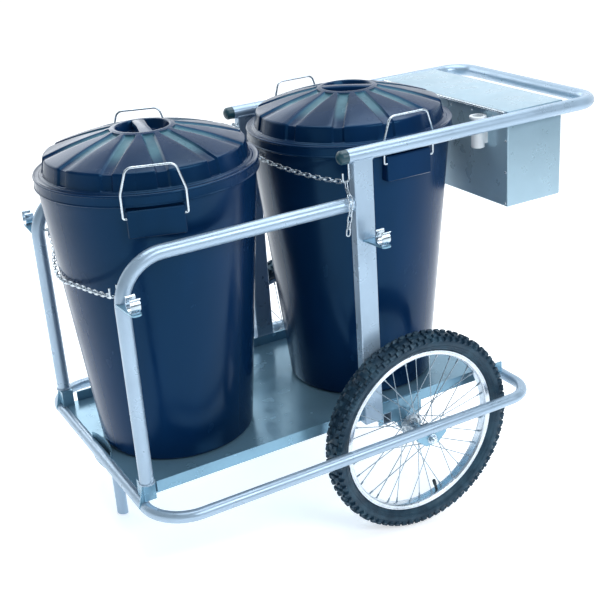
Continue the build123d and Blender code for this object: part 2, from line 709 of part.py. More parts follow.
def make_tool_box_lid():
    rear = BOX_FRONT + BOX_DEPTH
    low = BOX_TOP + 0.3
    with BuildPart() as lid:
        with BuildSketch(Plane.XY.offset(low)):
            with Locations(((BOX_FRONT + 1 + rear + 3) / 2, 0)):
                Rectangle(rear + 3 - BOX_FRONT - 1, 2 * BOX_Y - 2)
        extrude(amount=BOX_LID_TOP - low)
        with BuildSketch(Plane.XY.offset(low - 14)):
            with Locations((rear + 2, 0)):
                Rectangle(2, 2 * BOX_Y - 2)
        extrude(amount=14)
        tab = [(HINGE_X, low), (BOX_FRONT + 2, low), (BOX_FRONT + 2, BOX_LID_TOP),
               (HINGE_X, BOX_LID_TOP)]
        add(hinge_knuckles(1, tab))
    finish(lid, "tool_box_lid")


def make_hinge_pin():
    with BuildPart() as pin:
        with BuildSketch(Plane.XZ.offset(-BOX_Y + 5)):
            with Locations((HINGE_X, HINGE_Z)):
                Circle(HINGE_PIN_R)
        extrude(amount=2 * BOX_Y - 10)
    finish(pin, "tool_box_hinge_pin")


def make_rivets():
    with BuildPart() as rivets:
        for side in SIDES.values():
            for rise in RIVET_RISES:
                with BuildSketch(Plane.YZ.offset(BOX_FRONT)):
                    with Locations((side * (BOX_Y - RIVET_INSET), BOX_BOTTOM + rise)):
                        Circle(RIVET_R)
                extrude(amount=-RIVET_H)
    finish(rivets, "tool_box_rivets")


def make_tube_holder():
    with BuildPart() as holder:
        with BuildSketch(Plane.XY.offset(HOLDER_LOW)):
            with Locations((HOLDER_X, HOLDER_Y)):
                Circle(HOLDER_R)
        extrude(amount=HOLDER_TOP - HOLDER_LOW)
        with BuildSketch(Plane.XY.offset(HOLDER_LOW + HOLDER_WEB_INSET)):
            with Locations((HOLDER_X, HOLDER_Y)):
                Rectangle(BOX_FRONT - HOLDER_X, HOLDER_WEB_W, align=(Align.MIN, Align.CENTER))
        extrude(amount=HOLDER_TOP - HOLDER_LOW - 3 * HOLDER_WEB_INSET)
        with BuildSketch(Plane.XY.offset(HOLDER_TOP - COLLAR_H)):
            with Locations((HOLDER_X, HOLDER_Y)):
                Circle(COLLAR_R)
        extrude(amount=COLLAR_H)
        fillet(holder.faces().sort_by(Axis.Z)[-1].edges(), COLLAR_ROUND)
        with BuildSketch(Plane.XY.offset(HOLDER_LOW)):
            with Locations((HOLDER_X, HOLDER_Y)):
                Circle(HOLDER_R - HOLDER_WALL)
        extrude(amount=HOLDER_TOP, mode=Mode.SUBTRACT)
    finish(holder, "tube_holder")


def make_clip_brackets():
    with BuildPart() as brackets:
        for side in SIDES.values():
            for place, x in CLIP_X.items():
                root = SIDE_Y + POST_T / 2 if place == "post" else SIDE_Y
                half = CLIP_ROOT_HALF[place]
                with BuildSketch(Plane.XY.offset(CLIP_Z)) as plate:
                    with BuildLine():
                        Polyline(
                            (x - half, side * root), (x + half, side * root),
                            (x + CLIP_TIP_HALF, side * CLIP_REACH),
                            (x - CLIP_TIP_HALF, side * CLIP_REACH), close=True,
                        )
                    make_face()
                    tip = plate.vertices().group_by(Axis.Y)[-1 if side > 0 else 0]
                    fillet(tip, CLIP_TIP_ROUND)
                extrude(amount=CLIP_PLATE_T)
            with BuildSketch(Plane.XY.offset(CLIP_Z)):
                with Locations((HOOP_X + 1, side * SIDE_Y)):
                    Circle(TUBE_R + 1.3)
            extrude(amount=CLIP_PLATE_T, mode=Mode.SUBTRACT)
    finish(brackets, "clip_brackets")


def make_tool_clips():
    """Sprung steel bands: a flat foot, a round grip and two flared lips."""
    foot = CLIP_Z + CLIP_PLATE_T
    centre = foot + CLIP_BAND + CLIP_GRIP_R
    with BuildPart() as clips:
        for side in SIDES.values():
            for x in CLIP_X.values():
                y = side * (CLIP_REACH - CLIP_SETBACK)
                with BuildSketch(Plane.YZ.offset(x - CLIP_W / 2)):
                    with Locations((y, centre)):
                        Circle(CLIP_GRIP_R + CLIP_BAND)
                    with Locations((y, foot + CLIP_FOOT_H / 2)):
                        Rectangle(CLIP_FOOT_W, CLIP_FOOT_H)
                    for hand in (-1, 1):
                        with BuildLine():
                            Polyline(
                                *[(y + hand * out, centre + up) for out, up in CLIP_LIP],
                                close=True,
                            )
                        make_face()
                    with Locations((y, centre)):
                        Circle(CLIP_GRIP_R, mode=Mode.SUBTRACT)
                    with Locations((y, centre + CLIP_GRIP_R + 2)):
                        Rectangle(CLIP_MOUTH, CLIP_MOUTH + 0.8, mode=Mode.SUBTRACT)
                extrude(amount=CLIP_W)
    finish(clips, "tool_clips")


def chain_link():
    straight = LINK_PITCH - LINK_INNER_W + 0.4
    loop = LINK_INNER_W / 2 + LINK_WIRE_R
    with BuildPart() as link:
        with BuildLine() as path:
            Line((-straight / 2, -loop), (straight / 2, -loop))
            ThreePointArc((straight / 2, -loop), (straight / 2 + loop, 0), (straight / 2, loop))
            Line((straight / 2, loop), (-straight / 2, loop))
            ThreePointArc((-straight / 2, loop), (-straight / 2 - loop, 0), (-straight / 2, -loop))
        sweep(sections=pipe_section(path.wire(), LINK_WIRE_R, wall=0))
    return link.part


def link_places(route, first_upright):
    """Evenly spaced link places along a route, each a quarter turn from the one before."""
    with BuildLine() as path:
        Spline(*route)
    wire = path.wire()
    count = round(wire.length / LINK_PITCH)
    places = []
    for index in range(count):
        share = (index + 0.5) / count
        along = wire.tangent_at(share)
        across = Vector(0, 0, 1).cross(along)
        if across.length < 0.5:
            across = Vector(0, 1, 0)
        upright = index % 2 == (0 if first_upright else 1)
        normal = across if upright else along.cross(across)
        places.append(Plane(origin=wire.position_at(share), x_dir=along, z_dir=normal).location)
    return places


def bin_front_point(name, y, z):
    """Point on a chain that lies across the front of a bin."""
    reach = bin_radius(z) + CHAIN_STANDOFF
    return (BIN_X[name] - sqrt(reach**2 - y**2), y, z)


def make_chain(label, routes):
    link = chain_link()
    with BuildPart() as chain:
        for route, first_upright in routes:
            with Locations(*link_places(route, first_upright)):
                add(link)
    finish(chain, label)


def eye_start(eye, toward):
    """Point on an eye's ring that a chain leading to a point pulls on."""
    centre = Vector(*eye)
    flat = Vector(toward[0] - eye[0], toward[1] - eye[1], 0)
    return tuple(centre + flat.normalized() * EYE_R)


def hook_seat(hook):
    """Lowest point of a hook's bend, where the chain rests."""
    return (hook[0] - HOOK_R, hook[1], hook[2])


def make_front_chain():
    run = [eye_start(FRONT_EYE, FRONT_CHAIN_RIGHT), FRONT_CHAIN_RIGHT]
    run += [bin_front_point("front", y, z) for y, z in FRONT_CHAIN_SPAN]
    run += [FRONT_CHAIN_LEFT, hook_seat(FRONT_HOOK)]
    make_chain("front_chain", [(run, True)])


def make_rear_chain():
    seat = hook_seat(REAR_HOOK)
    run = [eye_start(REAR_EYE, REAR_CHAIN_RIGHT), REAR_CHAIN_RIGHT]
    run += [bin_front_point("rear", y, z) for y, z in REAR_CHAIN_SPAN]
    run += [REAR_CHAIN_LEFT, seat]
    tail = [seat] + [tuple(Vector(*seat) + Vector(*step)) for step in REAR_CHAIN_TAIL]
    make_chain("rear_chain", [(run, True), (tail, False)])


def make_chain_hooks():
    with BuildPart() as hooks:
        for (x, y, low), top in ((REAR_HOOK, REAR_HOOK_TOP), (FRONT_HOOK, FRONT_HOOK_TOP)):
            with BuildLine(Plane.XZ.offset(-y)) as path:
                Line((x, top), (x, low + HOOK_R))
                ThreePointArc((x, low + HOOK_R), (x - HOOK_R, low), (x - 2 * HOOK_R, low + HOOK_R))
                Line((x - 2 * HOOK_R, low + HOOK_R), (x - 2 * HOOK_R, low + HOOK_TIP))
            sweep(sections=pipe_section(path.wire(), HOOK_WIRE_R, wall=0))
    finish(hooks, "chain_hooks")


def make_chain_eyes():
    with BuildPart() as eyes:
        for x, y, z in (FRONT_EYE, REAR_EYE):
            with BuildSketch(Plane(origin=(x, y, z), x_dir=(1, 0, 0), z_dir=(0, 1, 0))):
                with Locations((EYE_R, 0)):
                    Circle(EYE_WIRE_R)
            revolve(axis=Axis((x, y, z), (0, 0, 1)))
    finish(eyes, "chain_eyes")


def main():
    make_tray()
    make_axle_cross_member()
    make_bumper_rail()
    make_handle()
    make_handle_caps()
    make_corner_brackets()
    make_tool_pocket()
    make_leg()
    make_axle_nuts()
    make_tool_box()
    make_tool_box_lid()
    make_hinge_pin()
    make_rivets()
    make_tube_holder()
    make_clip_brackets()
    make_tool_clips()
    make_chain_hooks()
    make_chain_eyes()
    make_front_chain()
    make_rear_chain()
    for name, side in SIDES.items():
        make_post(name, side)
        make_hoop(name, side)
        make_axle_plate(name, side)
        make_dropout(name, side)
        make_axle(name, side)
        make_hub(name, side)
        make_rim(name, side)
        make_tyre(name, side)
        make_spokes(name, side)
        make_valve(name, side)
    for name in BIN_X:
        make_bin(name)
        make_lid(name)
        for side_name, side in SIDES.items():
            make_bail(name, side_name, side)


main()
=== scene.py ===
"""Looks of the two-bin street barrow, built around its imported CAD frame.

Everything is placed in the barrow's own frame: origin on the wheel axle, x towards the push bar,
y to the right of the person pushing and z along the posts. BARROW turns that frame into the
resting pose, which leans forward on the front leg. Lengths in profiles are in millimetres.
"""
import json
from math import asin, cos, pi, radians, sin, sqrt

import bpy
from mathutils import Matrix, Vector


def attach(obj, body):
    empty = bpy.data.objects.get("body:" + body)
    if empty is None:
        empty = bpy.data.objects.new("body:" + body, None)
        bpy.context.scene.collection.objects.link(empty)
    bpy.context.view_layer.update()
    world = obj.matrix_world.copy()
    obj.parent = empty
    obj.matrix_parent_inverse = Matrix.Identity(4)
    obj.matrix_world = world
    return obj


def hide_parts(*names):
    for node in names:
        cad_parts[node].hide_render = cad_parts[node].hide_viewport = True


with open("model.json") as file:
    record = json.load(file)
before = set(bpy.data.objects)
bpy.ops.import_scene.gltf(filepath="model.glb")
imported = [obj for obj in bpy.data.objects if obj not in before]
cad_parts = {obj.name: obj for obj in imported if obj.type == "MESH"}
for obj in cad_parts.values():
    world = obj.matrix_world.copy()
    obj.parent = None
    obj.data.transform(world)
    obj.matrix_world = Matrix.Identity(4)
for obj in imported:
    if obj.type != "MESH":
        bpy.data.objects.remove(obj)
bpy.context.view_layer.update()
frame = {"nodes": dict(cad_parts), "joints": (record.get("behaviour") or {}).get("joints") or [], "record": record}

MM = 0.001
SIDES = {"left": -1, "right": 1}
BINS = ("front", "rear")
JOINTS = {joint["name"]: joint for joint in frame["joints"]}


def barrow_frame():
    """Matrix from the barrow's own frame to the resting pose."""
    up = Vector(JOINTS["front_bin_lift"]["axis"]).normalized()
    axle = Vector(JOINTS["left_wheel_spin"]["pos_m"])
    axle.y = 0
    turn = Matrix(((up.z, 0, -up.x), (0, 1, 0), up)).transposed()
    return Matrix.Translation(axle) @ turn.to_4x4()


BARROW = barrow_frame()


def node_box(node):
    """Lowest and highest corner of a CAD node, in the barrow's own frame, in metres."""
    back = BARROW.inverted()
    points = [back @ vertex.co for vertex in frame["nodes"][node].data.vertices]
    low = Vector(min(point[axis] for point in points) for axis in range(3))
    high = Vector(max(point[axis] for point in points) for axis in range(3))
    return low, high


# Camera, in the barrow's own frame
CAMERA_PLACE = (-1.362, -2.2775, 1.3738)
CAMERA_AZIMUTH = -28.45
CAMERA_ELEVATION = 23.09
CAMERA_ROLL = -4.07
CAMERA_LENS = 66.8
FLOOR_GLOW = 0.55
# Name of the point attribute that carries the painted reflection in the lid grooves: a paler tone standing in for
# the sky they reflect.
SHEEN_ATTRIBUTE = "dust_and_sheen"


def make_camera():
    turn, rise = radians(CAMERA_AZIMUTH), radians(CAMERA_ELEVATION)
    roll = radians(CAMERA_ROLL)
    back = Vector((sin(turn) * cos(rise), -cos(turn) * cos(rise), sin(rise)))
    level = Vector((0, 0, 1)).cross(back).normalized()
    upright = back.cross(level)
    right = level * cos(roll) + upright * sin(roll)
    up = upright * cos(roll) - level * sin(roll)
    camera = bpy.data.objects.new("camera", bpy.data.cameras.new("camera"))
    bpy.context.scene.collection.objects.link(camera)
    place = Matrix((right, up, back)).transposed().to_4x4()
    camera.matrix_world = BARROW @ Matrix.Translation(CAMERA_PLACE) @ place
    camera.data.lens = CAMERA_LENS
    bpy.context.scene.camera = camera


make_camera()


# ---------------------------------------------------------------- materials

def new_material(name, color, metallic, roughness):
    """A material with its main colour, metalness and roughness, and its node tree for more."""
    material = bpy.data.materials.new(name)
    material.use_nodes = True
    shader = material.node_tree.nodes["Principled BSDF"]
    shader.inputs["Base Color"].default_value = (*color, 1)
    shader.inputs["Metallic"].default_value = metallic
    shader.inputs["Roughness"].default_value = roughness
    return material, material.node_tree, shader


def noise_node(tree, scale, detail=4, stretch=(1, 1, 1)):
    """Noise over the object's own coordinates, stretched along the three axes."""
    coordinates = tree.nodes.new("ShaderNodeTexCoord")
    mapping = tree.nodes.new("ShaderNodeMapping")
    mapping.inputs["Scale"].default_value = stretch
    texture = tree.nodes.new("ShaderNodeTexNoise")
    texture.inputs["Scale"].default_value = scale
    texture.inputs["Detail"].default_value = detail
    tree.links.new(coordinates.outputs["Object"], mapping.inputs["Vector"])
    tree.links.new(mapping.outputs["Vector"], texture.inputs["Vector"])
    return texture.outputs["Fac"]


def ramp_node(tree, value, stops):
    """Colour ramp over a value: stops are (position, grey or colour)."""
    ramp = tree.nodes.new("ShaderNodeValToRGB")
    elements = ramp.color_ramp.elements
    while len(elements) < len(stops):
        elements.new(0.5)
    for element, (position, color) in zip(elements, stops):
        element.position = position
        shade = color if isinstance(color, tuple) else (color, color, color)
        element.color = (*shade, 1)
    tree.links.new(value, ramp.inputs["Fac"])
    return ramp.outputs["Color"]


def mix_node(tree, factor, first, second, blend="MIX"):
    """Mix of two colours; either may be a socket or a plain colour."""
    mix = tree.nodes.new("ShaderNodeMix")
    mix.data_type = "RGBA"
    mix.blend_type = blend
    for value, socket in ((factor, "Factor"), (first, "A"), (second, "B")):
        kind = "NodeSocketFloat" if socket == "Factor" else "NodeSocketColor"
        target = next(s for s in mix.inputs if s.name == socket and s.bl_idname.startswith(kind))
        if isinstance(value, tuple):
            target.default_value = (*value, 1)
        elif isinstance(value, float):
            target.default_value = value
        else:
            tree.links.new(value, target)
    return next(s for s in mix.outputs if s.bl_idname == "NodeSocketColor")


def bump_node(tree, shader, height, strength, distance):
    bump = tree.nodes.new("ShaderNodeBump")
    bump.inputs["Strength"].default_value = strength
    bump.inputs["Distance"].default_value = distance
    tree.links.new(height, bump.inputs["Height"])
    tree.links.new(bump.outputs["Normal"], shader.inputs["Normal"])


def make_paint(name, color, dirt, roughness):
    """Silver metal paint with faint orange peel, cloudy tone and a little road dirt."""
    material, tree, shader = new_material(name, color, 0.45, roughness)
    cloud = ramp_node(tree, noise_node(tree, 7, 5), [(0.3, 0.88), (0.7, 1.0)])
    tone = mix_node(tree, 1.0, color, cloud, "MULTIPLY")
    grime = ramp_node(tree, noise_node(tree, 46, 9), [(0.62, 0.0), (0.84, 1.0)])
    grime_share = mix_node(tree, 0.62, grime, (0.0, 0.0, 0.0))
    tone = mix_node(tree, grime_share, tone, dirt)
    tree.links.new(tone, shader.inputs["Base Color"])
    rough = ramp_node(tree, noise_node(tree, 22, 6),
                      [(0.3, roughness - 0.06), (0.75, roughness + 0.12)])
    tree.links.new(rough, shader.inputs["Roughness"])
    shader.inputs["Coat Weight"].default_value = 0.2
    shader.inputs["Coat Roughness"].default_value = 0.18
    bump_node(tree, shader, noise_node(tree, 420, 2), 0.12, 0.0004)
    return material


def make_bright_metal(name, color, roughness, grain=(1, 1, 1), scale=160):
    """Bare or plated metal with fine grain, lighter and duller patches."""
    material, tree, shader = new_material(name, color, 1.0, roughness)
    fine = noise_node(tree, scale, 5, grain)
    dull = tuple(channel * 0.72 for channel in color)
    patch = ramp_node(tree, noise_node(tree, 30, 4), [(0.35, color), (0.75, dull)])
    shade = ramp_node(tree, fine, [(0.3, 0.86), (0.7, 1.0)])
    tree.links.new(mix_node(tree, 1.0, patch, shade, "MULTIPLY"), shader.inputs["Base Color"])
    rough = ramp_node(tree, fine, [(0.3, roughness - 0.05), (0.7, roughness + 0.13)])
    tree.links.new(rough, shader.inputs["Roughness"])
    bump_node(tree, shader, fine, 0.10, 0.0003)
    return material


def make_bin_plastic(name):
    """Gloss moulded plastic: deep blue-black, faint flow lines, fine rub marks and a painted reflection in the lid
    grooves.
    """
    color = (0.0015, 0.0140, 0.046)
    material, tree, shader = new_material(name, color, 0.0, 0.22)
    flow = ramp_node(tree, noise_node(tree, 5, 3, (1, 1, 0.18)),
                     [(0.35, color), (0.7, (0.0024, 0.022, 0.078))])
    rub = ramp_node(tree, noise_node(tree, 70, 10, (1, 1, 3.5)), [(0.70, 0.0), (0.86, 1.0)])
    rub_share = mix_node(tree, 0.8, rub, (0.0, 0.0, 0.0))
    worn = mix_node(tree, rub_share, flow, (0.05, 0.13, 0.20))
    # Painted reflection: the lid shell's point attribute, broken up by noise, mixes in a pale blue-green tone that
    # stands in for the sky seen in the grooves.
    dust_and_sheen = tree.nodes.new("ShaderNodeAttribute")
    dust_and_sheen.attribute_name = SHEEN_ATTRIBUTE
    patchy = ramp_node(tree, noise_node(tree, 24, 8), [(0.25, 0.55), (0.7, 1.0)])
    sheen_share = mix_node(tree, 1.0, dust_and_sheen.outputs["Color"], patchy, "MULTIPLY")
    with_sheen = mix_node(tree, sheen_share, worn, (0.085, 0.20, 0.24))
    tree.links.new(with_sheen, shader.inputs["Base Color"])
    rough = ramp_node(tree, noise_node(tree, 14, 7, (1, 1, 0.5)), [(0.35, 0.16), (0.8, 0.34)])
    tree.links.new(rough, shader.inputs["Roughness"])
    shader.inputs["Specular Tint"].default_value = (0.22, 0.62, 1.0, 1)
    shader.inputs["IOR"].default_value = 1.36
    bump_node(tree, shader, noise_node(tree, 260, 3), 0.05, 0.0004)
    return material


def make_rubber(name, color, dust_and_sheen):
    """Matt rubber with a fine moulded surface and pale road dust."""
    material, tree, shader = new_material(name, color, 0.0, 0.6)
    film = ramp_node(tree, noise_node(tree, 26, 8), [(0.45, color), (0.85, dust_and_sheen)])
    tree.links.new(film, shader.inputs["Base Color"])
    rough = ramp_node(tree, noise_node(tree, 50, 5), [(0.3, 0.34), (0.7, 0.62)])
    tree.links.new(rough, shader.inputs["Roughness"])
    shader.inputs["Specular Tint"].default_value = (0.6, 0.85, 1.0, 1)
    bump_node(tree, shader, noise_node(tree, 700, 3), 0.25, 0.0003)
    return material


def make_plastic(name, color, roughness):
    """Plain moulded plastic with a soft, slightly uneven surface."""
    material, tree, shader = new_material(name, color, 0.0, roughness)
    worn = tuple(channel * 0.8 for channel in color)
    tone = ramp_node(tree, noise_node(tree, 18, 6), [(0.4, color), (0.8, worn)])
    tree.links.new(tone, shader.inputs["Base Color"])
    bump_node(tree, shader, noise_node(tree, 300, 3), 0.08, 0.0003)
    return material


MATERIALS = {
    "galvanised_tube": make_paint("silver tube paint", (0.38, 0.51, 0.64), (0.22, 0.31, 0.38), 0.30),
    "galvanised_sheet": make_paint("silver sheet paint", (0.22, 0.42, 0.56), (0.13, 0.25, 0.33), 0.20),
    "box_sheet": make_paint("tool box paint", (0.36, 0.52, 0.62), (0.26, 0.38, 0.45), 0.30),
    "zinc_steel": make_bright_metal("bright zinc", (0.68, 0.77, 0.84), 0.22),
    "spring_steel": make_bright_metal("spring steel", (0.62, 0.72, 0.80), 0.20, (1, 6, 1), 60),
    "rim_aluminium": make_bright_metal("rim aluminium", (0.78, 0.86, 0.94), 0.24, (1, 6, 1), 90),
    # The spoke steel is darker than the other steel: painted shade, standing in for the dark surroundings the
    # spokes reflect.
    "spoke_steel": make_bright_metal("spoke steel", (0.40, 0.50, 0.58), 0.24),
    "hub_steel": make_bright_metal("hub steel", (0.58, 0.66, 0.72), 0.26),
    "tyre_rubber": make_rubber("tyre rubber", (0.007, 0.024, 0.046), (0.035, 0.085, 0.125)),
    "valve_rubber": make_rubber("valve rubber", (0.010, 0.014, 0.018), (0.04, 0.05, 0.055)),
    "cap_plastic": make_plastic("end cap plastic", (0.012, 0.060, 0.085), 0.35),
    "bin_plastic": make_bin_plastic("bin plastic"),
    "holder_plastic": make_plastic("white plastic", (0.78, 0.83, 0.86), 0.40),
}


def paint_nodes():
    """Give every CAD node the full material of its slot."""
    for part in frame["record"]["subparts"]:
        materials = frame["nodes"][part["node"]].data.materials
        materials.clear()
        materials.append(MATERIALS[part["material_slot"]])


paint_nodes()


# ---------------------------------------------------------------- mesh tools

def add_piece(name, verts, faces, slot, body, nodes=(), place=None, crease=38):
    """A mesh piece that rides on a body, has the finish of a slot and may stand for CAD nodes."""
    mesh = bpy.data.meshes.new(name)
    mesh.from_pydata([Vector(v) * MM for v in verts], [], faces)
    mesh.validate()
    mesh.transform(BARROW @ (place or Matrix.Identity(4)))
    mesh.polygons.foreach_set("use_smooth", [True] * len(mesh.polygons))
    mesh.set_sharp_from_angle(angle=radians(crease))
    mesh.materials.append(MATERIALS[slot])
    piece = bpy.data.objects.new(name, mesh)
    bpy.context.scene.collection.objects.link(piece)
    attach(piece, body)
    if nodes:
        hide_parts(*nodes)
    return piece


class Shape:
    """Vertices and faces gathered from several closed forms, in millimetres."""

    def __init__(self):
        self.verts = []
        self.faces = []

    def add(self, verts, faces, turn=None):
        start = len(self.verts)
        if turn is not None:
            verts = [turn @ Vector(v) for v in verts]
        self.verts.extend(verts)
        self.faces.extend([tuple(start + i for i in face) for face in faces])


def skin(rings, cap_start=True, cap_end=True, loop=False):
    """Surface through rings of equally many points; loop joins the last ring to the first."""
    count = len(rings[0])
    verts = [point for ring in rings for point in ring]
    faces = []
    for row in range(len(rings) if loop else len(rings) - 1):
        low, high = row * count, (row + 1) % len(rings) * count
        for i in range(count):
            j = (i + 1) % count
            faces.append((low + i, low + j, high + j, high + i))
    if cap_start and not loop:
        faces.append(tuple(reversed(range(count))))
    if cap_end and not loop:
        last = (len(rings) - 1) * count
        faces.append(tuple(range(last, last + count)))
    return verts, faces


def lathe(profile, steps=72, closed=False):
    """Surface of revolution about z of (radius, height) points, poles where the radius is 0."""
    verts, rows = [], []
    for radius, height in profile:
        if radius < 1e-6:
            rows.append([len(verts)] * steps)
            verts.append((0, 0, height))
            continue
        rows.append(list(range(len(verts), len(verts) + steps)))
        for step in range(steps):
            angle = 2 * pi * step / steps
            verts.append((radius * cos(angle), radius * sin(angle), height))
    faces = []
    for row in range(len(rows) if closed else len(rows) - 1):
        low, high = rows[row], rows[(row + 1) % len(rows)]
        for i in range(steps):
            j = (i + 1) % steps
            face = list(dict.fromkeys((low[i], low[j], high[j], high[i])))
            if len(face) > 2:
                faces.append(tuple(face))
    return verts, faces


def rounded_rectangle(half_x, half_y, radius, height, corner_steps=5):
    """Ring of points round a rectangle with rounded corners, at a height."""
    ring = []
    for quarter, (sx, sy) in enumerate(((1, 1), (-1, 1), (-1, -1), (1, -1))):
        for step in range(corner_steps + 1):
            angle = (quarter + step / corner_steps) * pi / 2
            ring.append((
                sx * (half_x - radius) + radius * cos(angle),
                sy * (half_y - radius) + radius * sin(angle), height,
            ))
    return ring


def soft_block(half_x, half_y, low, high, edge, corner):
    """Block with rounded upright corners and softened top and bottom edges."""
    rings = []
    for inset, height in ((edge, low), (0, low + edge), (0, high - edge), (edge, high)):
        rings.append(rounded_rectangle(half_x - inset, half_y - inset, corner - inset / 2, height))
    return skin(rings)


def wire(points, radius, sides=10, loop=False, ripple=0.0, ripple_step=0):
    """Round wire along points, with a frame carried from point to point; ripple swells it."""
    points = [Vector(p) for p in points]
    count = len(points)
    rings = []
    side = None
    for i, point in enumerate(points):
        before = points[(i - 1) % count] if loop or i else points[0]
        after = points[(i + 1) % count] if loop or i < count - 1 else points[-1]
        along = (after - before).normalized()
        if side is None:
            side = along.orthogonal().normalized()
        side = (side - along * side.dot(along)).normalized()
        other = along.cross(side)
        size = radius
        if ripple_step:
            size *= 1 + ripple * (1 if i // ripple_step % 2 else -1)
        rings.append([
            point + (side * cos(a) + other * sin(a)) * size
            for a in (2 * pi * step / sides for step in range(sides))
        ])
    return skin(rings, loop=loop)


def extrude_y(section, low, high):
    """Closed (x, z) section run along y."""
    return skin([[(x, low, z) for x, z in section], [(x, high, z) for x, z in section]])


def arc(centre, radius, start, end, steps):
    """Points of a circular arc, angles in degrees."""
    return [
        (centre[0] + radius * cos(radians(a)), centre[1] + radius * sin(radians(a)))
        for a in (start + (end - start) * step / steps for step in range(steps + 1))
    ]


# ---------------------------------------------------------------- bins and lids

GROOVES = 12
GROOVE_HALF = 14.5
GROOVE_DEPTH = 5.0
GROOVE_WALL = 4.5
GROOVE_FROM = 74.0
# Painted reflection in the lid grooves: the radius where it is gone, the run over which it fades in towards the
# middle, and its strongest share.
SHEEN_EDGE_R = 196.0
SHEEN_FADE = 45.0
SHEEN_MOST = 0.85
LID_SHELL = 2.6
CUP_R = 62.0
BRIDGE_HALF = 15.5
LID_TURN = {"front": -103.3, "rear": -128.1}
BRIDGE_TURN = {"front": 0.0, "rear": 90.0}
BIN_BASE_R = 184.0
BIN_NECK_R = 245.0
BIN_TURN = {"front": -19.5, "rear": 0.0}
GRIP_HALF_X, GRIP_HALF_Y = 61.0, 13.5
GRIP_REACH = 257.0
GRIP_BELOW, GRIP_ABOVE = 43.0, 16.0
GRIP_LEAN = 1.4
BAIL_WIRE_R = 2.5
BIN_WALL = 3.5


def lid_profile(rim):
    """(radius, height, groove share) from the skirt's lower edge to the middle of the cup."""
    profile = [
        (rim - 2.6, 0.2, 0), (rim - 0.6, 0, 0), (rim, 0.8, 0), (rim, 2.2, 0), (rim - 1.6, 3.8, 0),
        (rim - 1.9, 12, 0), (rim - 1.6, 20.5, 0), (rim - 0.2, 22, 0), (rim, 23.4, 0),
        (rim - 0.7, 25, 0), (rim - 2.4, 25.9, 0), (rim - 4.4, 25.4, 0), (rim - 6.4, 24.2, 0),
        (rim - 10, 24.0, 0), (rim - 13, 24.4, 0), (rim - 15, 26.4, 0), (rim - 16.6, 27.2, 0),
        (rim - 18.6, 27.4, 0), (rim - 20.4, 28.8, 0), (rim - 21.0, 31.0, 1),
    ]
    foot_r, wall_top, shoulder = rim - 21.0, (rim - 26.6, 58.5), 7.0
    for share in (0.2, 0.4, 0.6, 0.8, 1.0):
        profile.append((
            foot_r + (wall_top[0] - foot_r) * share, 31 + (wall_top[1] - 31) * share, 1,
        ))
    slope = 15.5
    for angle in (20, 40, 60, 90 - slope):
        profile.append((
            wall_top[0] - shoulder * (1 - cos(radians(angle))),
            wall_top[1] + shoulder * sin(radians(angle)), 1,
        ))
    edge_r, edge_z = profile[-1][0], profile[-1][1]
    crest_r, crest_z = CUP_R + 4, 107.6
    for step in range(1, 13):
        share = step / 13
        radius = edge_r + (GROOVE_FROM + 2 - edge_r) * share
        bow = 3.0 * sin(pi * share)
        height = edge_z + (crest_z - edge_z) * (edge_r - radius) / (edge_r - crest_r) + bow
        profile.append((radius, height, 1))
    profile += [
        (GROOVE_FROM + 1.5, crest_z - 1.5, 1), (GROOVE_FROM - 1, crest_z - 1.1, 0),
        (CUP_R + 6, crest_z, 0), (CUP_R + 3, crest_z + 0.9, 0), (CUP_R, crest_z + 0.6, 0),
        (CUP_R - 2.2, crest_z - 1.2, 0), (CUP_R - 3.2, crest_z - 4, 0),
        (CUP_R - 7, crest_z - 17, 0), (CUP_R - 9.5, crest_z - 20, 0),
        (CUP_R - 14, crest_z - 21.2, 0), (0, crest_z - 21.5, 0),
    ]
    return profile


def sector_angles(radius):
    """Angles across one groove and the panel beside it, so that the groove keeps its width."""
    reach = max(radius, CUP_R + 4)
    floor = asin((GROOVE_HALF - GROOVE_WALL) / reach)
    lip = asin(GROOVE_HALF / reach)
    land = asin((GROOVE_HALF + 1.2) / reach)
    sector = 2 * pi / GROOVES
    angles = [(-floor, 0.86), (-floor * 0.5, 0.97), (0.0, 1.0), (floor * 0.5, 0.97), (floor, 0.86)]
    angles += [((floor + lip) / 2, 0.5), (lip, 0.06), (land, 0.0)]
    panels = 7
    for step in range(1, panels):
        angles.append((land + (sector - 2 * land) * step / panels, 0.0))
    angles += [(sector - land, 0.0), (sector - lip, 0.06), (sector - (floor + lip) / 2, 0.5)]
    return angles


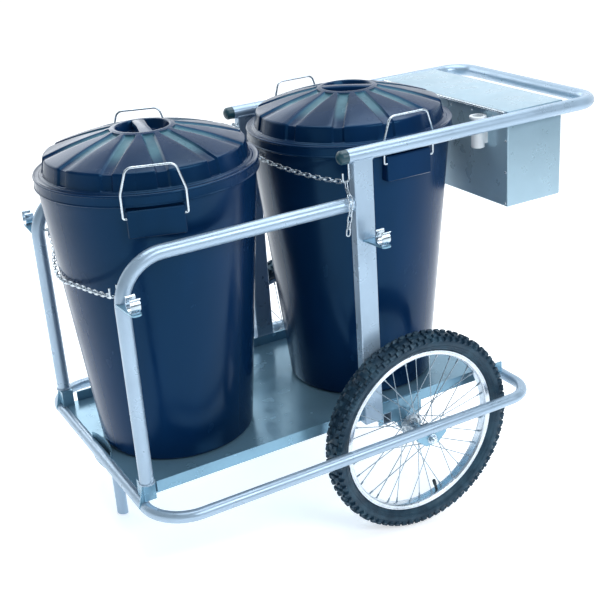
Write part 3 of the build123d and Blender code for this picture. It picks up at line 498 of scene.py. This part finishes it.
def make_lid(name):
    """Lid with a stepped skirt, sunken grooves that run to the cup, and a painted reflection in the grooves that
    fades to dark at their outer ends.
    """
    low, high = node_box(f"{name}_bin_lid")
    rim = (high.x - low.x) / 2 / MM
    centre = Vector(((low.x + high.x) / 2, (low.y + high.y) / 2, low.z))
    profile = lid_profile(rim)
    rings, groove_sheen = [], []
    for index, (radius, height, share) in enumerate(profile[:-1]):
        before, after = profile[max(index - 1, 0)], profile[index + 1]
        run = Vector((after[0] - before[0], after[1] - before[1])).normalized()
        inward = Vector((-run.y, run.x)) if run.x < 0 or run.y > 0 else Vector((run.y, -run.x))
        ring = []
        for sector in range(GROOVES):
            # Painted reflection: its share at each point, full in the groove and fading out towards the rim, where
            # the grooves are left dark.
            fade = min(max((SHEEN_EDGE_R - radius) / SHEEN_FADE, 0), 1)
            for angle, sunk in sector_angles(radius):
                groove_sheen.append(SHEEN_MOST * sunk * share * fade)
                turn = radians(LID_TURN[name]) + sector * 2 * pi / GROOVES + angle
                depth = GROOVE_DEPTH * sunk * share
                r, z = radius + inward.x * depth, height + inward.y * depth
                ring.append((r * cos(turn), r * sin(turn), z))
        rings.append(ring)
    verts, faces = skin(rings, cap_start=False, cap_end=False)
    last = len(verts) - len(rings[-1])
    verts.append((0, 0, profile[-1][1]))
    for i in range(len(rings[-1])):
        faces.append((last + i, last + (i + 1) % len(rings[-1]), len(verts) - 1))
    place = Matrix.Translation(centre)
    lid = add_piece(
        f"{name}_lid_shell", verts, faces, "bin_plastic", f"{name}_lid",
        [f"{name}_bin_lid"], place, crease=30,
    )
    # The painted groove reflection is stored on the lid's points for the plastic material to read.
    dust_and_sheen = lid.data.attributes.new(SHEEN_ATTRIBUTE, "FLOAT", "POINT")
    dust_and_sheen.data.foreach_set("value", groove_sheen + [0.0])
    shell = lid.modifiers.new("wall", "SOLIDIFY")
    shell.thickness = LID_SHELL * MM
    shell.offset = -1
    make_lid_bridge(name, place)


def make_lid_bridge(name, place):
    """Hand grip across the cup: a bar with a crowned top and drafted sides down to the floor."""
    top, floor = 107.2, 86.4
    rings = []
    for step in range(17):
        along = -CUP_R + 1.5 + (2 * CUP_R - 3) * step / 16
        crown = 1.8 * (1 - (along / CUP_R) ** 2)
        half = BRIDGE_HALF - 2.0 * (1 - abs(along) / CUP_R)
        section = [(half + 2.5, floor)]
        section += [(half + 0.6, top - 7), (half, top - 3)]
        section += [(half - 0.9, top - 1.1 + crown * 0.6), (half - 3.2, top + crown * 0.9)]
        section += [(half * 0.35, top + crown + 0.5)]
        section += [(-y, z) for y, z in reversed(section)]
        rings.append([(along, y, z) for y, z in section])
    verts, faces = skin(rings)
    turn = Matrix.Rotation(radians(LID_TURN[name] + BRIDGE_TURN[name]), 4, "Z")
    add_piece(
        f"{name}_lid_grip", verts, faces, "bin_plastic", f"{name}_lid", (), place @ turn, crease=50,
    )


def make_bin(name):
    """Tapered round bin with a raised floor, a beaded rim and a grip block under each bail."""
    low, high = node_box(f"{name}_bin")
    centre = Matrix.Translation(((low.x + high.x) / 2, 0, 0))
    floor, top = low.z / MM, high.z / MM
    lid_low = node_box(f"{name}_bin_lid")[0].z / MM
    wall = BIN_WALL
    rise = (BIN_NECK_R - BIN_BASE_R) / (lid_low - floor)
    body = Shape()
    foot = BIN_BASE_R - 10
    outer = [(0, floor + 6), (foot - 8, floor + 6), (foot - 6, floor + 4.5), (foot - 5, floor + 1),
             (foot - 3.5, floor), (foot + 1, floor)]
    outer += [(foot + 1 + 10 * sin(radians(a)), floor + 10 - 10 * cos(radians(a)))
              for a in (20, 40, 60, 80)]
    outer.append((BIN_BASE_R + 1, floor + 10))
    for share in (0.1, 0.3, 0.5, 0.7, 0.85, 0.93):
        height = floor + (lid_low - floor) * share
        outer.append((BIN_BASE_R + rise * (height - floor), height))
    outer += [
        (BIN_NECK_R - 1.2, lid_low - 12), (BIN_NECK_R, lid_low - 6), (BIN_NECK_R, top - 9),
        (BIN_NECK_R + 1.4, top - 8), (BIN_NECK_R + 2.4, top - 7), (BIN_NECK_R + 2.4, top - 2),
        (BIN_NECK_R + 1.2, top - 0.4), (BIN_NECK_R - 0.5, top), (BIN_NECK_R - 2.5, top - 0.3),
        (BIN_NECK_R - wall, top - 1.5), (BIN_NECK_R - wall, lid_low),
        (BIN_BASE_R - wall + 4, floor + 24), (BIN_BASE_R - wall, floor + 14),
        (BIN_BASE_R - wall - 5, floor + 10.3), (0, floor + 10),
    ]
    body.add(*lathe(outer, 144))
    bail_low = node_box(f"{name}_bin_left_bail")[0].z / MM
    grip_low = bail_low + BAIL_WIRE_R - GRIP_BELOW
    grip_high = bail_low + BAIL_WIRE_R + GRIP_ABOVE
    for side in SIDES.values():
        verts, faces = soft_block(GRIP_HALF_X, GRIP_HALF_Y, grip_low, grip_high, 2.2, 4.5)
        lean = GRIP_LEAN / (grip_high - grip_low)
        verts = [(x, y - side * lean * (z - grip_low) * (side * y > 0), z) for x, y, z in verts]
        turn = Matrix.Rotation(radians(BIN_TURN[name]), 4, "Z")
        body.add(verts, faces, turn @ Matrix.Translation((0, side * (GRIP_REACH - GRIP_HALF_Y), 0)))
    add_piece(
        f"{name}_bin_body", body.verts, body.faces, "bin_plastic", f"{name}_bin",
        [f"{name}_bin"], centre,
    )


for bin_name in BINS:
    make_lid(bin_name)
    make_bin(bin_name)


# ---------------------------------------------------------------- wheels

WHEEL_TURN = Matrix.Rotation(-pi / 2, 4, "X")
KNOBS = 76
SPOKES = 36
CARCASS_R = 250.0


def wheel_place(side_name):
    """Matrix that puts the wheel's axis, local z, along y at the hub's middle."""
    low, high = node_box(f"{side_name}_hub")
    return Matrix.Translation((0, (low.y + high.y) / 2, 0)) @ WHEEL_TURN


def knob(angle, radius, across, lean, size, height):
    """Tread block standing on the carcass: size is (along the tread, across it)."""
    rings = []
    for share, inset in ((0.0, -1.2), (0.75, 0.0), (1.0, 1.0)):
        half_a, half_b = size[0] / 2 - inset, size[1] / 2 - inset
        rings.append([
            (a, b, -2.5 + (height + 2.5) * share)
            for a, b in ((half_a, half_b), (-half_a, half_b), (-half_a, -half_b), (half_a, -half_b))
        ])
    verts, faces = skin(rings)
    place = (
        Matrix.Rotation(angle, 4, "Z") @ Matrix.Translation((radius, 0, across))
        @ Matrix.Rotation(pi / 2 - lean, 4, "Y") @ Matrix.Rotation(pi / 2, 4, "Z")
    )
    return verts, faces, place


def make_tyre(side_name):
    """Hollow carcass with a middle row, two shoulder rows and two edge rows of tread blocks."""
    bead = 12.4
    tyre = Shape()
    half = [(205, bead), (211, bead), (212.5, 14.5), (216, 18.5), (222, 23.0), (229, 25.6),
            (235, 26.0), (240, 24.6), (244.5, 21.0), (247.6, 15.5), (249.4, 8.0)]
    outside = half + [(CARCASS_R, 0)]
    outside += [(r, -y) for r, y in reversed(half)]
    inside = [(206, 8.6 - bead), (214, -bead), (228, -21.5), (240, -18), (246, 0),
              (240, 18), (228, 21.5), (214, bead), (206, bead - 8.6)]
    tyre.add(*lathe(outside + inside, 144, closed=True))
    pitch = 2 * pi / KNOBS
    for index in range(KNOBS):
        angle = index * pitch
        odd = index % 2
        centre_size = (11, 7.5) if odd else (9.5, 13)
        tyre.add(*knob(angle, CARCASS_R - 0.6, 5.5 if odd else -3.0, 0, centre_size, 5.4))
        for hand in (-1, 1):
            shift = angle + pitch * (0.5 if hand > 0 else 0.0)
            tyre.add(*knob(shift, 246.4, hand * 16, hand * 0.42, (10.0, 8.5), 6.6))
            deep = 12.0 if (index + (hand > 0)) % 2 else 8.5
            tyre.add(*knob(shift + pitch / 2, 241.6, hand * (26.0 - deep / 4), hand * 0.95,
                           (8.4, deep), 6.4))
    for hand in (-1, 1):
        for radius, height in ((219.0, 20.6), (224.5, 24.2)):
            ring = [
                (radius * cos(a), radius * sin(a), hand * height)
                for a in (2 * pi * step / 120 for step in range(120))
            ]
            tyre.add(*wire(ring, 0.8, 6, loop=True))
    add_piece(
        f"{side_name}_tyre_tread", tyre.verts, tyre.faces, "tyre_rubber", f"{side_name}_wheel",
        [f"{side_name}_tyre"], wheel_place(side_name), crease=32,
    )


def make_rim(side_name):
    """Alloy rim: hooked flanges, flat side walls with a wear line, and an eyelet per spoke."""
    rim = Shape()
    half = [(204.6, 11.6), (205.4, 12.3), (209.2, 12.5), (210.3, 13.2), (210.5, 14.2),
            (209.6, 15.0), (206.6, 15.0), (206.2, 14.7), (205.8, 15.0), (200.6, 14.6),
            (198.6, 12.8), (197.3, 9.4), (197, 5.0)]
    outline = half + [(r, -y) for r, y in reversed(half)]
    rim.add(*lathe(outline, 180, closed=True))
    for index in range(SPOKES):
        flange = 1 if index % 2 else -1
        angle = radians(index * 360 / SPOKES)
        eyelet = lathe([(2.4, -0.2), (3.6, -0.2), (3.4, 0.7), (2.5, 0.9)], 14, closed=True)
        place = (
            Matrix.Rotation(angle, 4, "Z") @ Matrix.Translation((197.2, 0, flange * 3))
            @ Matrix.Rotation(-pi / 2, 4, "Y")
        )
        rim.add(*eyelet, place)
    add_piece(
        f"{side_name}_rim_extrusion", rim.verts, rim.faces, "rim_aluminium", f"{side_name}_wheel",
        [f"{side_name}_rim"], wheel_place(side_name), crease=30,
    )


def make_hub(side_name):
    """Hub shell with two flanges, the spoke heads on them, dust caps and locking cones."""
    hub = Shape()
    half = [(6.2, 52), (8.6, 52), (9.6, 51), (9.6, 46.5), (8.2, 46), (8.2, 43), (11.5, 42.4),
            (14.5, 41), (15.2, 38.6), (17.0, 37.6), (17.6, 33), (19, 31.2), (27.6, 30.6),
            (29, 29.8), (29, 28.2), (27.6, 27.4), (19, 26.4), (16.2, 23.4), (14.2, 17), (13.4, 8)]
    outline = half + [(r, -y) for r, y in reversed(half)]
    hub.add(*lathe(outline, 64, closed=True))
    for hand in (-1, 1):
        for index in range(SPOKES // 2):
            angle = radians(index * 720 / SPOKES + (10 if hand > 0 else 0) + 62)
            head = lathe([(0, 1.5), (1.2, 1.3), (1.9, 0.5), (2.0, -0.4), (0, -0.4)], 10)
            place = Matrix.Translation((25 * cos(angle), 25 * sin(angle), hand * 31.0))
            flip = Matrix.Identity(4) if hand > 0 else Matrix.Rotation(pi, 4, "X")
            hub.add(*head, place @ flip)
    add_piece(
        f"{side_name}_hub_shell", hub.verts, hub.faces, "hub_steel", f"{side_name}_wheel",
        [f"{side_name}_hub"], wheel_place(side_name), crease=30,
    )


for wheel_name in SIDES:
    make_tyre(wheel_name)
    make_rim(wheel_name)
    make_hub(wheel_name)


# ---------------------------------------------------------------- tool box

HINGE_KNUCKLES = 42
HINGE_R = 3.6


def make_tool_box():
    """Folded sheet box: rounded folds, a turned-in top edge and a screwed-on hinge leaf."""
    low, high = node_box("tool_box")
    pin_low, pin_high = node_box("tool_box_hinge_pin")
    pin_x, pin_z = (pin_low.x + pin_high.x) / 2 / MM, (pin_low.z + pin_high.z) / 2 / MM
    front, rear = pin_x + 4.6, high.x / MM
    half_x, half_y = (rear - front) / 2, high.y / MM
    bottom, top = low.z / MM, high.z / MM
    fold, sheet, turned = 3.5, 2.0, 9.0
    box = Shape()
    rings = []
    for inset, height in ((3.4, bottom), (1.6, bottom + 0.5), (0.5, bottom + 1.6), (0, bottom + 3.4),
                          (0, top - 1.2), (0.5, top - 0.2), (1.2, top), (turned, top),
                          (turned, top - sheet), (sheet, top - sheet), (sheet, bottom + 3.6),
                          (sheet + 1.4, bottom + sheet)):
        corner = max(fold - inset * 0.5, 0.8)
        rings.append(rounded_rectangle(half_x - inset, half_y - inset, corner, height))
    middle = Matrix.Translation(((front + rear) / 2, 0, 0))
    box.add(*skin(rings), middle)
    leaf = [(front - 1.4, pin_z - 3), (front - 0.1, pin_z - 3), (front - 0.1, pin_z - 25),
            (front - 1.1, pin_z - 25), (front - 1.4, pin_z - 24.6)]
    box.add(*extrude_y(leaf, -half_y + 5, half_y - 5))
    add_piece("tool_box_shell", box.verts, box.faces, "box_sheet", "frame", ["tool_box"], crease=30)
    make_box_lid(half_y, pin_x)
    make_hinge(pin_x, pin_z, pin_low.y / MM, pin_high.y / MM)
    make_box_fasteners(front, half_y, pin_z)


def make_box_lid(half_y, pin_x):
    """One bent sheet: a flat top that reaches the hinge, and a rolled rear lip."""
    low, high = node_box("tool_box_lid")
    under, top = high.z / MM - 2.2, high.z / MM
    lip_x, lip_low, bend = high.x / MM, low.z / MM, 4.0
    section = [(pin_x + 1.5, under + 0.3), (pin_x + 1.5, top - 0.2), (pin_x + 2.4, top)]
    section += arc((lip_x - bend, top - bend), bend, 90, 0, 5)
    section += [(lip_x, lip_low + 0.6), (lip_x - 0.6, lip_low), (lip_x - 1.6, lip_low),
                (lip_x - 2.0, lip_low + 0.6)]
    section += arc((lip_x - bend, top - bend), bend - 2.0, 0, 90, 5)
    lid = Shape()
    lid.add(*extrude_y(section, -half_y + 1, half_y - 1))
    add_piece(
        "tool_box_lid_sheet", lid.verts, lid.faces, "box_sheet", "tool_box_lid",
        ["tool_box_lid"], crease=30,
    )


def make_hinge(pin_x, pin_z, start, end):
    """Piano hinge: short knuckles taken in turn by the box and by its lid."""
    width = (end - start) / HINGE_KNUCKLES
    bodies = {"frame": Shape(), "tool_box_lid": Shape()}
    for index in range(HINGE_KNUCKLES):
        body = "tool_box_lid" if index % 2 else "frame"
        length = width - 0.5
        barrel = lathe([(2.06, 0), (HINGE_R - 0.4, 0), (HINGE_R, 0.4), (HINGE_R, length - 0.4),
                        (HINGE_R - 0.4, length), (2.06, length)], 20, closed=True)
        place = Matrix.Translation((pin_x, start + index * width + 0.25, pin_z)) @ WHEEL_TURN
        bodies[body].add(*barrel, place)
        reach = 2.4 if body == "frame" else 3.2
        leaf_z = (pin_z - 5.5, pin_z - 1.5) if body == "frame" else (pin_z + 1.6, pin_z + 3.4)
        tab = [(pin_x + 0.8, leaf_z[1]), (pin_x + 0.8, leaf_z[0]), (pin_x + reach + 1.2, leaf_z[0]),
               (pin_x + reach + 1.2, leaf_z[1])]
        bodies[body].add(*extrude_y(tab, start + index * width + 0.3,
                                    start + (index + 1) * width - 0.3))
    for body, knuckles in bodies.items():
        add_piece(f"{body}_hinge_knuckles", knuckles.verts, knuckles.faces, "zinc_steel", body)


def dome_head(radius, height):
    """Low domed rivet or screw head."""
    return lathe([(0, height), (radius * 0.5, height * 0.93), (radius * 0.82, height * 0.62),
                  (radius, 0.2), (radius, -0.6), (0, -0.6)], 18)


def make_box_fasteners(front, half_y, pin_z):
    """Rivet heads up both edges of the box front, and the screws of the hinge leaf."""
    forward = Matrix.Rotation(-pi / 2, 4, "Y")
    rivets, screws = Shape(), Shape()
    low, high = node_box("tool_box_rivets")
    rows, end = 3, 3.2
    for side in SIDES.values():
        for row in range(rows):
            height = low.z / MM + end + (high.z - low.z - 2 * end * MM) / MM * row / (rows - 1)
            place = Matrix.Translation((front, side * (half_y - 8), height)) @ forward
            rivets.add(*dome_head(3.4, 1.6), place)
    add_piece("box_rivet_heads", rivets.verts, rivets.faces, "zinc_steel", "frame", ["tool_box_rivets"])
    screw_count = 6
    for index in range(screw_count):
        y = (index + 0.5) / screw_count * 2 * (half_y - 12) - half_y + 12
        place = Matrix.Translation((front - 1.3, y, pin_z - 15)) @ forward
        screws.add(*dome_head(2.6, 1.1), place)
    add_piece("hinge_leaf_screws", screws.verts, screws.faces, "zinc_steel", "frame")


make_tool_box()


# ---------------------------------------------------------------- clips, welds, nuts

CLIP_CURL_R = 4.2


def clip_profile(grip, band):
    """Closed (y, z) outline of a sprung clip: flat foot, round grip, lips curled outward."""
    half = arc((0, 0), grip, -70, 38, 14)
    lip_start = half[-1]
    neck = (lip_start[0] - 1.0, lip_start[1] + 3.0)
    curl_centre = (neck[0] + CLIP_CURL_R, neck[1] + 1.5)
    foot = (3.5, -grip - 0.6)
    inner = [foot] + half + [neck] + arc(curl_centre, CLIP_CURL_R, 170, 40, 7)
    outer = []
    count = len(inner)
    for i, (y, z) in enumerate(inner):
        before, after = inner[max(i - 1, 0)], inner[min(i + 1, count - 1)]
        run = Vector((after[0] - before[0], after[1] - before[1])).normalized()
        outer.append((y + run.y * band, z - run.x * band))
    return inner + list(reversed(outer))


def make_clips():
    """Four sprung steel clips, each a foot plate, two curled arms and a rivet."""
    low, high = node_box("tool_clips")
    reach = high.y / MM - 17
    foot_z = node_box("clip_brackets")[1].z / MM
    grip, band, half_width = 13.6, 1.5, 10.5
    centre_z = foot_z + band + grip + 0.6
    stations = (low.x / MM + 11, high.x / MM - 11)
    clips = Shape()
    half = clip_profile(grip, band)
    for side in SIDES.values():
        for x in stations:
            for hand in (-1, 1):
                section = [(hand * y, z) for y, z in half]
                rings = [
                    [(x + shift, side * reach + y, centre_z + z) for y, z in section]
                    for shift in (-half_width, half_width)
                ]
                clips.add(*skin(rings if hand > 0 else rings[::-1]))
            plate = soft_block(half_width, 8.5, foot_z, foot_z + band + 0.3, 0.4, 2.0)
            clips.add(*plate, Matrix.Translation((x, side * reach, 0)))
            place = Matrix.Translation((x, side * reach, foot_z + band + 0.4))
            clips.add(*dome_head(4.2, 1.8), place)
    add_piece("clip_bands", clips.verts, clips.faces, "spring_steel", "frame", ["tool_clips"], crease=35)


def make_nuts():
    """Chamfered axle nuts with washers, one on each side of both wheels."""
    inner_seat = node_box("right_axle_plate")[0].y / MM
    outer_seat = node_box("right_dropout")[1].y / MM
    seats = [(inner_seat, -1), (outer_seat, 1)]
    nuts = Shape()
    across = 10.6
    for side in SIDES.values():
        for seat, outward in seats:
            facing = 1 if side * outward > 0 else -1
            place = Matrix.Translation((0, side * seat, 0)) @ WHEEL_TURN
            if facing < 0:
                place = place @ Matrix.Rotation(pi, 4, "X")
            rings = []
            for grow, height in ((0.90, 1.4), (1.0, 2.4), (1.0, 7.8), (0.90, 8.9)):
                rings.append([
                    (across * grow * cos(a), across * grow * sin(a), height)
                    for a in (pi / 3 * step for step in range(6))
                ])
            nuts.add(*skin(rings), place)
            nuts.add(*lathe([(0, 0), (12.4, 0), (12.8, 0.5), (12.4, 1.5), (0, 1.5)], 32), place)
    add_piece("axle_nuts_and_washers", nuts.verts, nuts.faces, "zinc_steel", "frame", ["axle_nuts"],
              crease=25)


def ring_path(centre, radius, axis, steps=60):
    """Points round a circle whose normal is the named axis."""
    points = []
    for step in range(steps):
        a = 2 * pi * step / steps
        u, v = radius * cos(a), radius * sin(a)
        offset = {"X": (0, u, v), "Y": (u, 0, v), "Z": (u, v, 0)}[axis]
        points.append(tuple(c + o for c, o in zip(centre, offset)))
    return points


def line_path(start, end, step=1.6):
    """Points along a straight line, about a step apart."""
    count = max(int((Vector(end) - Vector(start)).length / step), 2)
    return [Vector(start).lerp(Vector(end), i / count) for i in range(count + 1)]


def make_welds():
    """Weld beads, slightly scalloped, where tubes and plates of the frame meet."""
    welds = Shape()
    post_low, post_high = node_box("right_post")
    hoop_low, hoop_high = node_box("right_hoop")
    handle_low, handle_high = node_box("push_handle")
    side_y = (post_low.y + post_high.y) / 2 / MM
    tube_r = (handle_high.z - handle_low.z) / 2 / MM
    handle_z = (handle_high.z + handle_low.z) / 2 / MM
    hoop_z = hoop_high.z / MM - tube_r
    hoop_x = hoop_low.x / MM + tube_r
    post_front, post_rear = post_low.x / MM, post_high.x / MM
    half_t = (post_high.y - post_low.y) / 2 / MM
    bead = dict(radius=2.3, sides=8, ripple=0.16, ripple_step=2)
    thin_bead = {**bead, "radius": 1.7}
    bracket_low, bracket_high = node_box("clip_brackets")
    block_high = node_box("corner_brackets")[1].z / MM
    tray_high = node_box("tray")[1]
    for side in SIDES.values():
        y = side * side_y
        welds.add(*wire(ring_path((post_front - 0.6, y, hoop_z), tube_r + 0.5, "X"),
                        loop=True, **bead))
        welds.add(*wire(ring_path((hoop_x, y, block_high + 0.4), tube_r + 0.4, "Z"),
                        loop=True, **bead))
        for x in (post_front - 0.3, post_rear + 0.3):
            across = [
                (x, y + half_t * (2 * i / 16 - 1),
                 handle_z - sqrt(tube_r ** 2 - (half_t * (2 * i / 16 - 1)) ** 2) - 0.5)
                for i in range(17)
            ]
            welds.add(*wire(across, **bead))
        for hand in (-1, 1):
            edge_z = handle_z - sqrt(tube_r ** 2 - half_t ** 2) - 0.5
            welds.add(*wire(line_path((post_front, y + hand * half_t, edge_z),
                                      (post_rear, y + hand * half_t, edge_z)), **bead))
        outer = side * (side_y + half_t + 0.4)
        for height in (bracket_low.z / MM - 0.6, bracket_high.z / MM + 0.6):
            welds.add(*wire(line_path((post_front + 15, outer, height), (post_rear - 3, outer, height)),
                            **thin_bead))
        inner = side * (tray_high.y / MM)
        welds.add(*wire(line_path((post_front, inner + side * 0.6, tray_high.z / MM),
                                  (post_rear, inner + side * 0.6, tray_high.z / MM)),
                        **thin_bead))
    add_piece("weld_beads", welds.verts, welds.faces, "galvanised_tube", "frame", crease=80)


make_clips()
make_nuts()
make_welds()


# ---------------------------------------------------------------- stage

# name, place, target, (width, height), watts, colour
LIGHTS = (
    ("key", (0.6, -3.2, 2.7), (0, 0, 0.5), (2.4, 1.6), 70, (0.92, 0.95, 1.0)),
    ("top", (0.0, 0.2, 3.6), (0, 0, 0.5), (3.4, 2.4), 85, (0.95, 0.97, 1.0)),
    ("back", (-0.6, 3.2, 2.2), (0, 0, 0.6), (3.0, 1.8), 30, (1, 1, 1)),
)
FLOOR_AHEAD, FLOOR_BEHIND, FLOOR_HALF_WIDTH = 60.0, 4.0, 40.0
SWEEP_R = 3.0
BACKDROP_TOP = 14.0
WORLD_COLOR = (0.80, 0.92, 1.0)
WORLD_STRENGTH = 0.28


def add_light(name, place, target, size, power, color):
    light = bpy.data.lights.new(name, "AREA")
    light.shape = "RECTANGLE"
    light.size, light.size_y = size
    light.energy = power
    light.color = color
    lamp = bpy.data.objects.new(name, light)
    bpy.context.scene.collection.objects.link(lamp)
    lamp.location = place
    lamp.rotation_mode = "QUATERNION"
    lamp.rotation_quaternion = (Vector(target) - Vector(place)).to_track_quat("-Z", "Y")


def make_stage():
    """Pale plain floor that runs up into a backdrop, and large soft lights."""
    material, _, shader = new_material("studio floor", (0.9, 0.92, 0.94), 0.0, 0.6)
    shader.inputs["Emission Color"].default_value = (1, 1, 1, 1)
    shader.inputs["Emission Strength"].default_value = FLOOR_GLOW
    sweep = [(-FLOOR_AHEAD, 0.0), (FLOOR_BEHIND, 0.0)]
    sweep += arc((FLOOR_BEHIND, SWEEP_R), SWEEP_R, -90, 0, 12)
    sweep.append((FLOOR_BEHIND + SWEEP_R, BACKDROP_TOP))
    away = Matrix.Rotation(radians(CAMERA_AZIMUTH + 90), 4, "Z")
    verts = [away @ Vector((x, y, z)) for x, z in sweep for y in (-FLOOR_HALF_WIDTH, FLOOR_HALF_WIDTH)]
    mesh = bpy.data.meshes.new("floor")
    mesh.from_pydata(verts, [], [(2 * i, 2 * i + 2, 2 * i + 3, 2 * i + 1)
                                 for i in range(len(sweep) - 1)])
    mesh.polygons.foreach_set("use_smooth", [True] * len(mesh.polygons))
    mesh.materials.append(material)
    floor = bpy.data.objects.new("floor", mesh)
    bpy.context.scene.collection.objects.link(floor)
    world = bpy.data.worlds.new("studio")
    world.use_nodes = True
    backdrop = world.node_tree.nodes["Background"]
    backdrop.inputs["Color"].default_value = (*WORLD_COLOR, 1)
    backdrop.inputs["Strength"].default_value = WORLD_STRENGTH
    bpy.context.scene.world = world
    for light in LIGHTS:
        add_light(*light)
    bpy.context.scene.view_settings.view_transform = "Standard"


make_stage()
